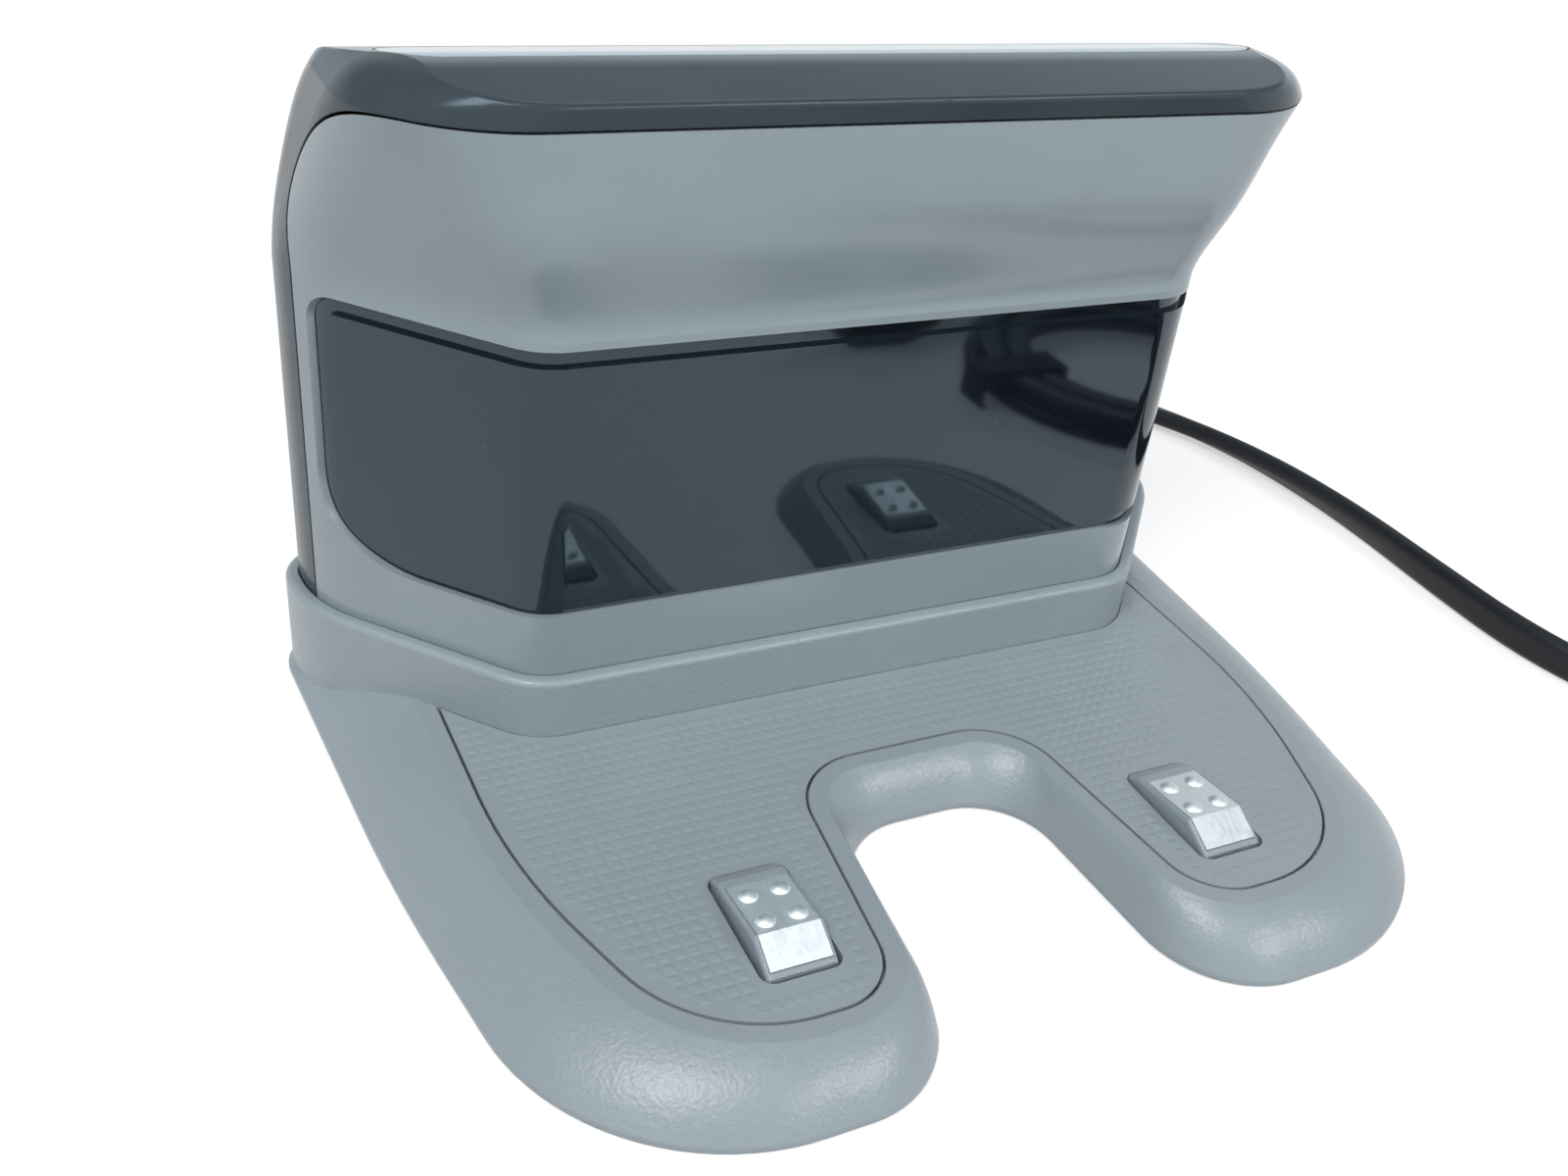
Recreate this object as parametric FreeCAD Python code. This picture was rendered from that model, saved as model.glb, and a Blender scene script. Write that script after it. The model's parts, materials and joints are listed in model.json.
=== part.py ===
import FreeCAD, Part
import math
import os

V = FreeCAD.Vector

# Footprint of the base on the floor; the front of the dock faces -Y
base_width = 150.0
base_depth = 110.5
base_front = -base_depth / 2
base_rear = base_depth / 2
toe_inset = 13.0
toe_half_width = base_width / 2 - toe_inset
shoulder_inset = 4.2
shoulder_half_width = base_width / 2 - shoulder_inset
shoulder_back = 52.5
shoulder_radius = 300.0
base_rear_radius = 8.0

# Notch in the front edge for the castor of the robot
notch_half_width = 14.3
notch_mouth_half_width = 16.9
notch_depth = 43.0
notch_radius = 11.0
notch_mouth_radius = 14.0
toe_width = toe_half_width - notch_mouth_half_width
toe_radius = toe_width - notch_mouth_radius - 0.1

# Tread plate, let into the tray inside a thin groove
tread_level = 7.9
tread_thickness = 1.6
groove_width = 0.4
tread_front_margin = 9.8
tread_notch_depth = 50.1
tread_notch_half_width = 17.6
tread_notch_radius = 10.5
tread_mouth_half_width = 21.9
tread_toe_inset = 28.2
tread_toe_half_width = base_width / 2 - tread_toe_inset
tread_toe_width = tread_toe_half_width - tread_mouth_half_width
tread_mouth_radius = 0.34 * tread_toe_width
tread_toe_radius = 0.8 * tread_toe_width
tread_shoulder_inset = 16.8
tread_shoulder_half_width = base_width / 2 - tread_shoulder_inset
tread_shoulder_back = 43.5
tread_shoulder_radius = 90.0
tread_rear_inset = 16.1
tread_rear_half_width = base_width / 2 - tread_rear_inset
tread_rear_y = base_rear - 5.25
tread_rear_radius = 6.0

# Flank that falls from the strip round the tread plate to the lip on the floor
strip_width = 2.5
lip_bottom = 0.5
lip_top = 1.3
flank_mid_level = 5.3
flank_mid_share = 0.43

# Shell of the tray and its bottom cover
deck_thickness = 1.7
deck_top = tread_level - tread_thickness
deck_bottom = deck_top - deck_thickness
cover_thickness = 1.2
cover_top = lip_bottom + cover_thickness
cover_gap = 0.25
rim_wall = 2.8
cover_ledge = 1.4
cavity_margin = 1.0

# Tower, lower part: front corners cut off by slanted faces
tower_rear_margin = 2.2
tower_rear = base_rear - tower_rear_margin
tower_depth = 40.0
tower_front = tower_rear - tower_depth
tower_side_margin = 3.1
tower_rear_half_width = base_width / 2 - tower_side_margin
tower_side_taper = 0.3
tower_side_half_width = tower_rear_half_width - tower_side_taper
tower_corner_width = 24.1
tower_front_half_width = tower_side_half_width - tower_corner_width
tower_front_radius = 9.0
tower_side_back = 26.6
tower_side_radius = 20.0
tower_rear_radius = 5.5
tower_wall = 2.2

# Levels of the top: seam, rim of the glossy band, crown
tower_top = 94.3
crown_fall = 1.4
rim_level = tower_top - crown_fall
band_height = 2.9
seam_top = rim_level - band_height

# Tower at the seam: rounder and wider at the front corners, narrower at the sides
flare_start = 64.2
front_overhang = 3.2
upper_front = tower_front - front_overhang
upper_front_radius = 20.0
upper_side_inset = 4.4
upper_side_half_width = tower_side_half_width - upper_side_inset
upper_corner_width = 11.4
upper_front_half_width = upper_side_half_width - upper_corner_width
upper_side_back = 11.6
upper_side_radius = 17.0
upper_rear_inset = 5.1
upper_rear_half_width = tower_rear_half_width - upper_rear_inset
upper_rear_lean = 1.45
upper_rear = tower_rear - upper_rear_lean
upper_rear_radius = 14.0
# Each level of the flare: share of its height, of the way of the corners, of the front and of the sides
flare_levels = [
    (0.18, 0.10, 0.12, 0.04),
    (0.31, 0.22, 0.48, 0.08),
    (0.46, 0.38, 0.80, 0.16),
    (0.70, 0.64, 0.95, 0.37),
    (1.00, 1.00, 1.00, 1.00),
]

# Rim and crown of the rear casing
rim_overhang = 0.6
rim_round = 0.7
crown_ridge_y = tower_rear - 27.05
crown_flat = 4.7
crown_front = crown_ridge_y - crown_flat
crown_bend = 26.0
# Each level of the shoulders: share of the height from the seam to the top, way inwards of the sides
shoulder_levels = [(0.0, 0.0), (0.35, 1.2), (0.67, 3.0), (0.88, 5.4), (1.0, 8.0), (1.06, 10.4)]
crown_side_inset = 5.7
crown_side_half_width = upper_side_half_width - crown_side_inset
crown_corner_width = 8.5
crown_front_half_width = crown_side_half_width - crown_corner_width
crown_corner_depth = 6.5
crown_side_y = crown_front + crown_corner_depth
crown_rear_taper = 1.5
crown_rear_half_width = crown_side_half_width - crown_rear_taper
crown_rear = tower_rear - 7.05
crown_radius = 8.0

# Rounding of the top towards the back wall: corner points and radii of the side view
back_low_drop = 14.3
back_low_radius = 20.0
back_mid_y = tower_rear - 8.05
back_mid_drop = 3.6
back_mid_radius = 16.0

# Seam between the front housing and the rear casing
seam_y = tower_rear - 12.05
seam_radius = 25.0
seam_gap = 0.3

# Collar of the tray round the foot of the tower
collar_ledge = 1.9
collar_top = 16.8
collar_round = 0.9
collar_gap = 0.15

# Infrared window, wrapped round the front and both slanted faces
window_bottom = 25.9
window_top = 63.2
window_end = tower_rear - 14.65
window_low_radius = 12.0
window_high_radius = 4.0
window_gap = 0.15
window_border = 2.0
window_step = 0.8
window_flange = 2.5
window_flange_thickness = 1.2
window_back_gap = 0.1

# Inlay in the crown
inlay_half_width = crown_side_half_width - 0.5
inlay_front = tower_rear - 28.85
inlay_depth = 13.2
inlay_rear = inlay_front + inlay_depth
inlay_radius = 6.2
inlay_thickness = 1.0
inlay_gap = 0.3

# Charging contacts: plate on a carrier that tilts about a pin at its rear
contact_inset = 2.85
contact_x = (tread_toe_half_width + tread_mouth_half_width) / 2 - contact_inset
contact_setback = 25.75
contact_y = base_front + contact_setback
pocket_half_width = 5.3
pocket_front = 9.88
pocket_back = 8.36
pocket_radius = 1.8
well_clearance = 0.3
carrier_half_width = 4.65
carrier_front = 9.2
carrier_back = 7.9
carrier_heel_level = 3.6
carrier_toe_level = 5.2
carrier_back_drop = 1.1
carrier_ledge = 1.4
carrier_ledge_drop = 0.1
carrier_front_drop = 0.5
carrier_belly_rise = 0.6
carrier_round = 0.7
plate_half_width = 4.04
plate_back = 4.65
plate_fold = 4.5
plate_foot = 8.5
plate_back_level = 9.41
plate_fold_level = 10.47
plate_foot_level = 8.4
plate_thickness = 0.5
plate_side_gap = 0.06
bump_radius = 1.7
bump_height = 0.6
bump_pitch_x = 4.22
bump_pitch_y = 4.9
pivot_back = 6.9
pivot_level = 5.2
pin_radius = 0.8
pin_half_length = 7.6
pin_run_gap = 0.05
pin_seat_gap = 0.02
hub_radius = 1.4
hub_half_length = 5.0
hub_room = 2.6
lug_width = 2.6
lug_depth = 4.4
lug_bottom = 3.2
heel_rib_gap = 0.3
heel_rib_width = 0.8

# Return springs of the contacts and the strips under them
spring_front = 3.0
spring_mean_radius = 1.8
spring_wire = 0.6
spring_turns = 2.5
spring_seat_depth = 0.9
spring_seat_gap = 0.35
spring_room = 2.4
terminal_thickness = 0.3
terminal_half_width = 3.2
terminal_half_depth = 3.2
lead_notch_gap = 8.0
lead_x = notch_half_width + lead_notch_gap
terminal_lead_edge = 0.8
terminal_inner_x = lead_x - terminal_lead_edge

# Feet and screws
foot_radius = 4.5
foot_height = 1.0
foot_sink = 0.5
foot_gap = 0.1
foot_side = base_width / 2 - 13.0
foot_places = [(toe_half_width - 26.0, base_front + 9.25), (foot_side, 0.0), (foot_side, base_rear - 11.25)]
screw_side = base_width / 2 - 25.0
cover_screw_places = [
    (toe_half_width - 17.5, base_front + 22.25),
    (screw_side, tower_front - 7.05),
    (screw_side + 1.8, tower_front + 17.95),
]
tower_screw_places = [(28.0, tower_front + 5.15), (tower_rear_half_width - 17.9, tower_rear - 5.45)]
screw_gap = 0.1
cover_screw_radius = 1.1
cover_head_radius = 2.3
cover_head_height = 1.4
cover_screw_top = 6.0
cup_radius = 4.0
cup_height = 1.7
cup_wall = 1.2
tower_screw_radius = 1.25
tower_head_radius = 2.5
tower_head_height = 1.6
tower_screw_top = 15.0
tower_boss_radius = 3.5
tower_boss_top = 18.0
slot_reach_share = 0.6
slot_half_share = 0.13

# Opening between the base and the tower for the leads
shaft_half_width = 48.0
shaft_front = tower_front + 11.95
shaft_rear = tower_rear - 7.05
shaft_radius = 5.0

# Control board with the infrared emitters, on posts of the front housing
board_thickness = 1.6
control_y = tower_front + 10.95
control_half_width = 42.0
control_bottom = 17.6
control_top = 72.2
control_screw_x = 36.0
control_screw_levels = [20.5, 69.3]
post_radius = 2.7
board_screw_radius = 1.0
board_head_radius = 2.0
board_head_height = 1.3
board_screw_length = 6.5
holder_half_width = 32.0
holder_bottom = 40.0
holder_top = 50.0
holder_depth = 5.0
holder_round = 2.0
emitter_radius = 2.5
emitter_gap = 0.1
emitter_length = 4.2
emitter_places = [-24.0, -8.0, 8.0, 24.0]

# Power board on posts of the rear casing
power_y = tower_rear - 8.85
power_left = -50.0
power_right = 33.0
power_bottom = 15.0
power_top = 64.0
power_screw_inset = 4.0
coil_former = (22.0, 15.0, 18.0)
coil_former_place = (-24.0, 36.0)
core_band = (28.0, 9.0, 8.0)
capacitor_radius = 5.0
capacitor_length = 14.0
capacitor_round = 0.8
capacitor_places = [(4.0, 52.0), (16.0, 52.0), (-44.2, 32.0)]
terminal_block = (12.0, 11.0, 9.0)
terminal_block_place = (26.0, 26.0)

# Ribbon between the boards
link_half_width = 5.0
link_level = 30.0
link_thickness = 0.8
link_x = 8.0
plug_in = (12.0, 3.4, 7.0)

# Mains cord; the route runs from the strain relief behind the dock to the coil
cord_diameter = 5.0
cord_exit = (44.0, 26.0)
gland_neck_radius = 4.0
gland_flange_radius = 5.8
gland_flange = 1.4
gland_root_radius = 4.6
gland_tip_radius = 3.4
gland_length = 25.0
gland_ribs = 5
gland_rib_height = 0.35
gland_rib_share = 0.55
gland_gap = 0.05
cord_floor = cord_diameter / 2
cord_route = [
    (44, tower_rear + 25.45, 26),
    (45, 94, 24),
    (53, 109, 17),
    (69, 117, 9),
    (87, 114, 4),
    (102, 103, cord_floor),
    (113, 89, cord_floor),
    (120.5, 72, cord_floor),
    (124, 53, cord_floor),
    (124.5, 33, cord_floor),
    (123, 12, cord_floor),
    (122.5, -9, cord_floor),
    (127.5, -26.5, cord_floor),
    (139.6, -37.8, cord_floor),
    (152.5, -47.5, cord_floor),
]
coil_centre = (124.0, -79.5)
coil_inner_radius = 24.0
coil_outer_radius = 44.0
coil_height = 7.4
coil_round = 1.6
tie_width = 8.0
tie_thickness = 0.8
tie_gap = 0.2
tie_round = 1.2
# From the top turn of the coil to the plug, measured from the middle of the coil
tail_route = [(0.0, -40.8, 5.6), (-8.0, -41.2, 5.7), (-17.0, -42.8, 6.5)]
plug_length = 30.0
plug_width = 26.0
plug_waist = 11.0
plug_height = 13.0
plug_round = 3.0
plug_edge_round = 2.4
plug_shoulder_share = 0.45
plug_neck_radius = 4.4
plug_neck_tip_radius = 3.2
plug_neck_length = 12.0
plug_pin_radius = 2.0
plug_pin_length = 19.0
plug_pin_pitch = 19.0

# Cores of the cord inside the tower and leads of the contacts
tail_radius = 0.8
tail_pitch = 2.6
tail_straight = 7.0
tail_sway = 0.4
tail_bend = 5.5
tail_turn = 12.5
tail_depth = 13.5
lead_radius = 0.7
lead_sway = 1.0
lead_slack = 4.0
lead_top = control_bottom + 19.1

reach = 200.0


def corner(points, radii, i):
    """Start, middle and end of the arc that rounds one corner of an outline."""
    n = len(points)
    px, py = points[i]
    ax, ay = points[i - 1]
    bx, by = points[(i + 1) % n]
    la = math.hypot(ax - px, ay - py)
    lb = math.hypot(bx - px, by - py)
    ux = (ax - px) / la
    uy = (ay - py) / la
    wx = (bx - px) / lb
    wy = (by - py) / lb
    half = math.acos(ux * wx + uy * wy) / 2
    back = radii[i] / math.tan(half)
    lift = radii[i] / math.sin(half) - radii[i]
    mx = ux + wx
    my = uy + wy
    lm = math.hypot(mx, my)
    start = (px + ux * back, py + uy * back)
    middle = (px + mx / lm * lift, py + my / lm * lift)
    end = (px + wx * back, py + wy * back)
    return start, middle, end


def rounded(points, radii, place):
    """Closed wire of straight lines and tangent arcs; place maps (a, b) to space."""
    arcs = [corner(points, radii, i) for i in range(len(points))]
    edges = []
    for i, (start, middle, end) in enumerate(arcs):
        before = arcs[i - 1][2]
        edges.append(Part.LineSegment(place(before), place(start)).toShape())
        edges.append(Part.Arc(place(start), place(middle), place(end)).toShape())
    return Part.Wire(edges)


def both_sides(half):
    """Whole outline from its right half: (x, y, radius) from the front to the rear."""
    left = [(-x, y, r) for x, y, r in reversed(half)]
    return half + left


def grown(outline, d):
    """Outline with every edge moved outwards by d (inwards where d is negative)."""
    n = len(outline)
    lines = []
    for i in range(n):
        ax, ay, _ = outline[i]
        bx, by, _ = outline[(i + 1) % n]
        length = math.hypot(bx - ax, by - ay)
        dx = (bx - ax) / length
        dy = (by - ay) / length
        lines.append((ax + dy * d, ay - dx * d, dx, dy))
    result = []
    for i in range(n):
        ax, ay, adx, ady = lines[i - 1]
        bx, by, bdx, bdy = lines[i]
        turn = adx * bdy - ady * bdx
        t = ((bx - ax) * bdy - (by - ay) * bdx) / turn
        radius = outline[i][2] + (d if turn > 0 else -d)
        result.append((ax + adx * t, ay + ady * t, radius))
    return result


def between(first, second, t):
    """Outline part of the way from the first to the second."""
    return [tuple(a + (b - a) * t for a, b in zip(p, q)) for p, q in zip(first, second)]


def plan(outline, z):
    """Wire of an outline at a level."""
    points = [(x, y) for x, y, _ in outline]
    radii = [r for _, _, r in outline]
    return rounded(points, radii, lambda p: V(p[0], p[1], z))


def prism(outline, z0, z1):
    """Upright solid over an outline."""
    return Part.Face(plan(outline, z0)).extrude(V(0, 0, z1 - z0))


def rounded_box(x0, x1, y0, y1, r, z0, z1):
    """Upright solid over a rectangle with rounded corners."""
    return prism([(x0, y0, r), (x1, y0, r), (x1, y1, r), (x0, y1, r)], z0, z1)


def box(x0, x1, y0, y1, z0, z1):
    """Plain block between two corners."""
    return Part.makeBox(x1 - x0, y1 - y0, z1 - z0, V(x0, y0, z0))


def rod(radius, x, y, z0, z1):
    """Upright cylinder."""
    return Part.makeCylinder(radius, z1 - z0, V(x, y, z0))


def rod_y(radius, x, z, y0, y1):
    """Cylinder along Y."""
    return Part.makeCylinder(radius, y1 - y0, V(x, y0, z), V(0, 1, 0))


def side_cut(profile, half_width):
    """Solid of a (y, z, radius) profile, as wide to both sides of the middle."""
    points = [(y, z) for y, z, _ in profile]
    radii = [r for _, _, r in profile]
    wire = rounded(points, radii, lambda p: V(-half_width, p[0], p[1]))
    return Part.Face(wire).extrude(V(2 * half_width, 0, 0))


def side_block(points, half_width):
    """Solid of a plain (y, z) polygon, as wide to both sides of the middle."""
    corners = [V(-half_width, y, z) for y, z in points]
    wire = Part.makePolygon(corners + corners[:1])
    return Part.Face(wire).extrude(V(2 * half_width, 0, 0))


def union(shapes):
    """One solid of several that overlap or touch."""
    return shapes[0].fuse(shapes[1:]).removeSplitter()


def mirrored(places):
    """Places on the right and their mirror places on the left."""
    return [(s * x, y) for x, y in places for s in (1, -1)]


def tube(points, radius):
    """Tube along straight runs with tangent arcs between them."""
    route = [V(*p) for p in points]
    edges = []
    start = route[0]
    radii = []
    for before, here, after in zip(route, route[1:], route[2:]):
        a = before - here
        b = after - here
        back = 0.45 * min(a.Length, b.Length)
        half_turn = (math.pi - a.getAngle(b)) / 2
        radii.append(back / math.tan(half_turn))
        ua = V(a).normalize()
        ub = V(b).normalize()
        enter = here + ua * back
        leave = here + ub * back
        bisector = (ua + ub).normalize()
        middle = here + bisector * (radii[-1] / math.cos(half_turn) - radii[-1])
        edges.append(Part.LineSegment(start, enter).toShape())
        edges.append(Part.Arc(enter, middle, leave).toShape())
        start = leave
    edges.append(Part.LineSegment(start, route[-1]).toShape())
    path = Part.Wire(edges)
    direction = route[1] - route[0]
    section = Part.Wire(Part.makeCircle(radius, route[0], direction))
    solid = path.makePipeShell([section], True, False)
    area = math.pi * radius ** 2
    print("tube radii", [round(r, 1) for r in radii], "length", round(path.Length, 1),
          "volume ratio", round(solid.Volume / (area * path.Length), 4))
    return solid


# Outlines that the pieces share
ground = both_sides([
    (notch_half_width, base_front + notch_depth, notch_radius),
    (notch_mouth_half_width, base_front, notch_mouth_radius),
    (toe_half_width, base_front, toe_radius),
    (shoulder_half_width, base_front + shoulder_back, shoulder_radius),
    (base_width / 2, base_rear, base_rear_radius),
])
tread_front = base_front + tread_front_margin
groove = both_sides([
    (tread_notch_half_width, base_front + tread_notch_depth, tread_notch_radius),
    (tread_mouth_half_width, tread_front, tread_mouth_radius),
    (tread_toe_half_width, tread_front, tread_toe_radius),
    (tread_shoulder_half_width, base_front + tread_shoulder_back, tread_shoulder_radius),
    (tread_rear_half_width, tread_rear_y, tread_rear_radius),
])
lower = both_sides([
    (tower_front_half_width, tower_front, tower_front_radius),
    (tower_side_half_width, tower_front + tower_side_back, tower_side_radius),
    (tower_rear_half_width, tower_rear, tower_rear_radius),
])
upper = both_sides([
    (upper_front_half_width, upper_front, upper_front_radius),
    (upper_side_half_width, upper_front + upper_side_back, upper_side_radius),
    (upper_rear_half_width, upper_rear, upper_rear_radius),
])
crown = both_sides([
    (crown_front_half_width, crown_front, crown_radius),
    (crown_side_half_width, crown_side_y, crown_radius),
    (crown_rear_half_width, crown_rear, crown_radius),
])
collar = grown(lower, collar_ledge)
inlay = both_sides([
    (inlay_half_width, inlay_front, inlay_radius),
    (inlay_half_width, inlay_rear, inlay_radius),
])


def flare(depth):
    """Flared part of the tower, all its sections moved inwards by a depth."""
    wires = [plan(grown(lower, -depth), flare_start)]
    for height, corners, front, sides in flare_levels:
        section = between(lower, upper, corners)
        front_y = tower_front + (upper_front - tower_front) * front
        rear_x = tower_rear_half_width + (upper_rear_half_width - tower_rear_half_width) * sides
        section[0] = (section[0][0], front_y, section[0][2])
        section[-1] = (section[-1][0], front_y, section[-1][2])
        section[2] = (rear_x, section[2][1], section[2][2])
        section[3] = (-rear_x, section[3][1], section[3][2])
        level = flare_start + (seam_top - flare_start) * height
        wires.append(plan(grown(section, -depth), level))
    return Part.makeLoft(wires, True, False)


def back_side(depth):
    """Everything under the sloping crown and in front of the back wall, moved inwards by a depth."""
    fall = crown_fall / (crown_front - upper_front + rim_overhang)
    profile = [
        (-reach, -reach, 1),
        (tower_rear, -reach, 1),
        (tower_rear, tower_top - back_low_drop, back_low_radius),
        (back_mid_y, tower_top - back_mid_drop, back_mid_radius),
        (crown_ridge_y, tower_top, crown_bend),
        (crown_front, tower_top, crown_bend),
        (-reach, tower_top - fall * (crown_front + reach), 1),
    ]
    return side_cut(grown(profile, -depth) if depth else profile, reach)


def shoulders():
    """Top of the tower above the seam: upright in front, rounded inwards at the sides."""
    wires = []
    for share, inset in shoulder_levels:
        rise = (tower_top - seam_top) * share
        front_y = upper_front - rim_overhang * rise / band_height
        section = both_sides([
            (upper_front_half_width - inset, front_y, upper_front_radius),
            (upper_side_half_width - inset, upper_front + upper_side_back, upper_side_radius),
            (upper_rear_half_width - inset, upper_rear, upper_rear_radius),
        ])
        wires.append(plan(section, seam_top + rise))
    return Part.makeLoft(wires, True, False).common(back_side(0))


def tower_body():
    """Outside of the whole tower as one solid."""
    top = shoulders()
    front_rim = [e for e in top.Edges
                 if e.BoundBox.YMax < upper_front + rim_overhang and e.BoundBox.ZMin > seam_top + rim_round]
    top = top.makeFillet(rim_round, front_rim)
    body = prism(lower, tread_level, flare_start).fuse([flare(0), top])
    return body.common(back_side(0))


def tower_space():
    """Room inside the walls of the tower."""
    foot = prism(grown(lower, -tower_wall), tread_level - 1, flare_start)
    cap = Part.makeLoft(
        [plan(grown(upper, -tower_wall), seam_top), plan(crown, tower_top - tower_wall)], True, True)
    space = foot.fuse([flare(tower_wall), cap])
    return space.common(back_side(tower_wall))


def front_side(gap):
    """Everything in front of the seam."""
    return side_cut([
        (-reach, -reach, 1),
        (seam_y - gap, -reach, 1),
        (seam_y - gap, seam_top - gap, seam_radius),
        (-reach, seam_top - gap, 1),
    ], reach)


def window_side(grow):
    """Everything inside the window's outline, seen from the side."""
    return side_cut([
        (-reach, window_bottom - grow, 1),
        (window_end + grow, window_bottom - grow, window_low_radius + grow),
        (window_end + grow, window_top + grow, window_high_radius + grow),
        (-reach, window_top + grow, 1),
    ], reach)


def shell(outer, inner):
    """Wall between two depths behind the face of the lower tower."""
    low = window_bottom - 2 * window_flange
    high = window_top + 2 * window_flange
    return prism(grown(lower, -outer), low, high).cut(prism(grown(lower, -inner), low, high))


def make_base_tray():
    """Tray with flanks, deck, collar, screw bosses and the wells of the contacts."""
    strip = grown(groove, strip_width)
    middle = between(ground, strip, flank_mid_share)
    flank = Part.makeLoft(
        [plan(ground, lip_top), plan(middle, flank_mid_level), plan(strip, tread_level)], True, False)
    ring = prism(collar, lip_bottom, collar_top)
    top_edges = [e for e in ring.Edges if min(v.Z for v in e.Vertexes) > collar_top - 0.01]
    ring = ring.makeFillet(collar_round, top_edges)
    body = union([flank, prism(ground, lip_bottom, lip_top), ring])
    body = body.cut(prism(grown(lower, collar_gap), tread_level, collar_top + 1))
    recess = prism(groove, deck_top, tread_level + 1).cut(prism(collar, 0, collar_top))
    body = body.cut(recess)
    ledge = grown(ground, -rim_wall - cover_ledge)
    roof = grown(groove, -cavity_margin)
    body = body.cut(prism(grown(ground, -rim_wall), 0, cover_top))
    body = body.cut(Part.makeLoft([plan(ledge, cover_top), plan(roof, deck_bottom)], True, True))
    shaft = rounded_box(-shaft_half_width, shaft_half_width, shaft_front, shaft_rear, shaft_radius,
                        deck_bottom - 1, tread_level + 1)
    body = body.cut(shaft)
    added = []
    holes = []
    for x, y in mirrored(cover_screw_places):
        added.append(rod(cup_radius, x, y, cover_top + cup_height, deck_bottom + 0.5))
        holes.append(rod(cover_screw_radius + screw_gap, x, y, cover_top, cover_screw_top + 0.1))
    for x, y in mirrored(tower_screw_places):
        holes.append(rod(tower_screw_radius + 2 * screw_gap, x, y, deck_bottom, tread_level + 1))
        holes.append(rod(tower_head_radius + screw_gap, x, y, cover_top, deck_bottom))
    pivot_y = contact_y + pivot_back
    lug_in = pocket_half_width + well_clearance
    for s in (1, -1):
        x = s * contact_x
        for a, b in ((x - lug_in - lug_width, x - lug_in), (x + lug_in, x + lug_in + lug_width)):
            added.append(box(a, b, pivot_y - lug_depth / 2, pivot_y + lug_depth / 2,
                             lug_bottom, deck_top - 0.5))
        holes.append(rounded_box(x - lug_in, x + lug_in,
                                 contact_y - pocket_front - well_clearance,
                                 contact_y + pocket_back + well_clearance,
                                 pocket_radius, deck_bottom - 2, tread_level))
        holes.append(Part.makeCylinder(pin_radius + pin_seat_gap, 2 * pin_half_length,
                                       V(x - pin_half_length, pivot_y, pivot_level), V(1, 0, 0)))
    return union([body] + added).cut(holes)


def make_tread_plate():
    """Flat plate with the pockets of the two contacts."""
    plate = prism(grown(groove, -groove_width), deck_top, tread_level)
    plate = plate.cut(prism(grown(collar, collar_gap), 0, collar_top))
    for s in (1, -1):
        x = s * contact_x
        plate = plate.cut(rounded_box(x - pocket_half_width, x + pocket_half_width,
                                      contact_y - pocket_front, contact_y + pocket_back,
                                      pocket_radius, 0, collar_top))
    return plate


def make_bottom_cover():
    """Cover under the tray with screw cups, foot recesses and the ribs that stop the carriers."""
    plate = prism(grown(ground, -rim_wall - cover_gap), lip_bottom, cover_top)
    added = []
    holes = []
    cup_top = cover_top + cup_height
    for x, y in mirrored(cover_screw_places):
        added.append(rod(cup_radius - screw_gap, x, y, lip_bottom, cup_top))
        holes.append(rod(cover_head_radius + 2 * screw_gap, x, y, 0, cup_top - cup_wall))
        holes.append(rod(cover_screw_radius + 2 * screw_gap, x, y, 0, cup_top))
    heel = contact_y + carrier_back
    for s in (1, -1):
        x = s * contact_x
        added.append(box(x - carrier_half_width, x + carrier_half_width, heel - heel_rib_width, heel,
                         lip_bottom, carrier_heel_level - heel_rib_gap))
    for x, y in mirrored(foot_places):
        holes.append(rod(foot_radius + foot_gap, x, y, 0, lip_bottom + foot_sink))
    return union([plate] + added).cut(holes)


def make_feet():
    """Rubber pads with a rounded lower edge."""
    pads = []
    for x, y in mirrored(foot_places):
        pad = rod(foot_radius, x, y, 0, foot_height)
        low = [e for e in pad.Edges if e.BoundBox.ZMax < 0.01]
        pads.append(pad.makeFillet(foot_height / 4, low))
    return Part.makeCompound(pads)


def make_screw(x, y, seat, top, radius, head_radius, head_height):
    """Upright screw whose head bears upwards on a seat, with a cross slot in the head."""
    head = rod(head_radius, x, y, seat - head_height, seat)
    low = [e for e in head.Edges if e.BoundBox.ZMax < seat - head_height + 0.01]
    head = head.makeFillet(head_height / 4, low)
    slot = head_radius * slot_reach_share
    half = head_radius * slot_half_share
    floor = seat - head_height
    cross = box(x - slot, x + slot, y - half, y + half, floor - 1, floor + head_height / 2)
    cross = cross.fuse(box(x - half, x + half, y - slot, y + slot, floor - 1, floor + head_height / 2))
    return head.fuse(rod(radius, x, y, seat, top)).cut(cross)


def make_cover_screws():
    """Screws of the bottom cover."""
    seat = cover_top + cup_height - cup_wall
    return Part.makeCompound([
        make_screw(x, y, seat, cover_screw_top, cover_screw_radius,
                   cover_head_radius, cover_head_height)
        for x, y in mirrored(cover_screw_places)])


def make_tower_screws():
    """Screws that draw the tower down on the deck."""
    return Part.makeCompound([
        make_screw(x, y, deck_bottom, tower_screw_top, tower_screw_radius,
                   tower_head_radius, tower_head_height)
        for x, y in mirrored(tower_screw_places)])


def tower_boss(x, y):
    """Screw boss at the foot of the tower, with its hole."""
    boss = rod(tower_boss_radius, x, y, tread_level, tower_boss_top)
    return boss.cut(rod(tower_screw_radius + screw_gap, x, y, tread_level, tower_screw_top + 1))


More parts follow.
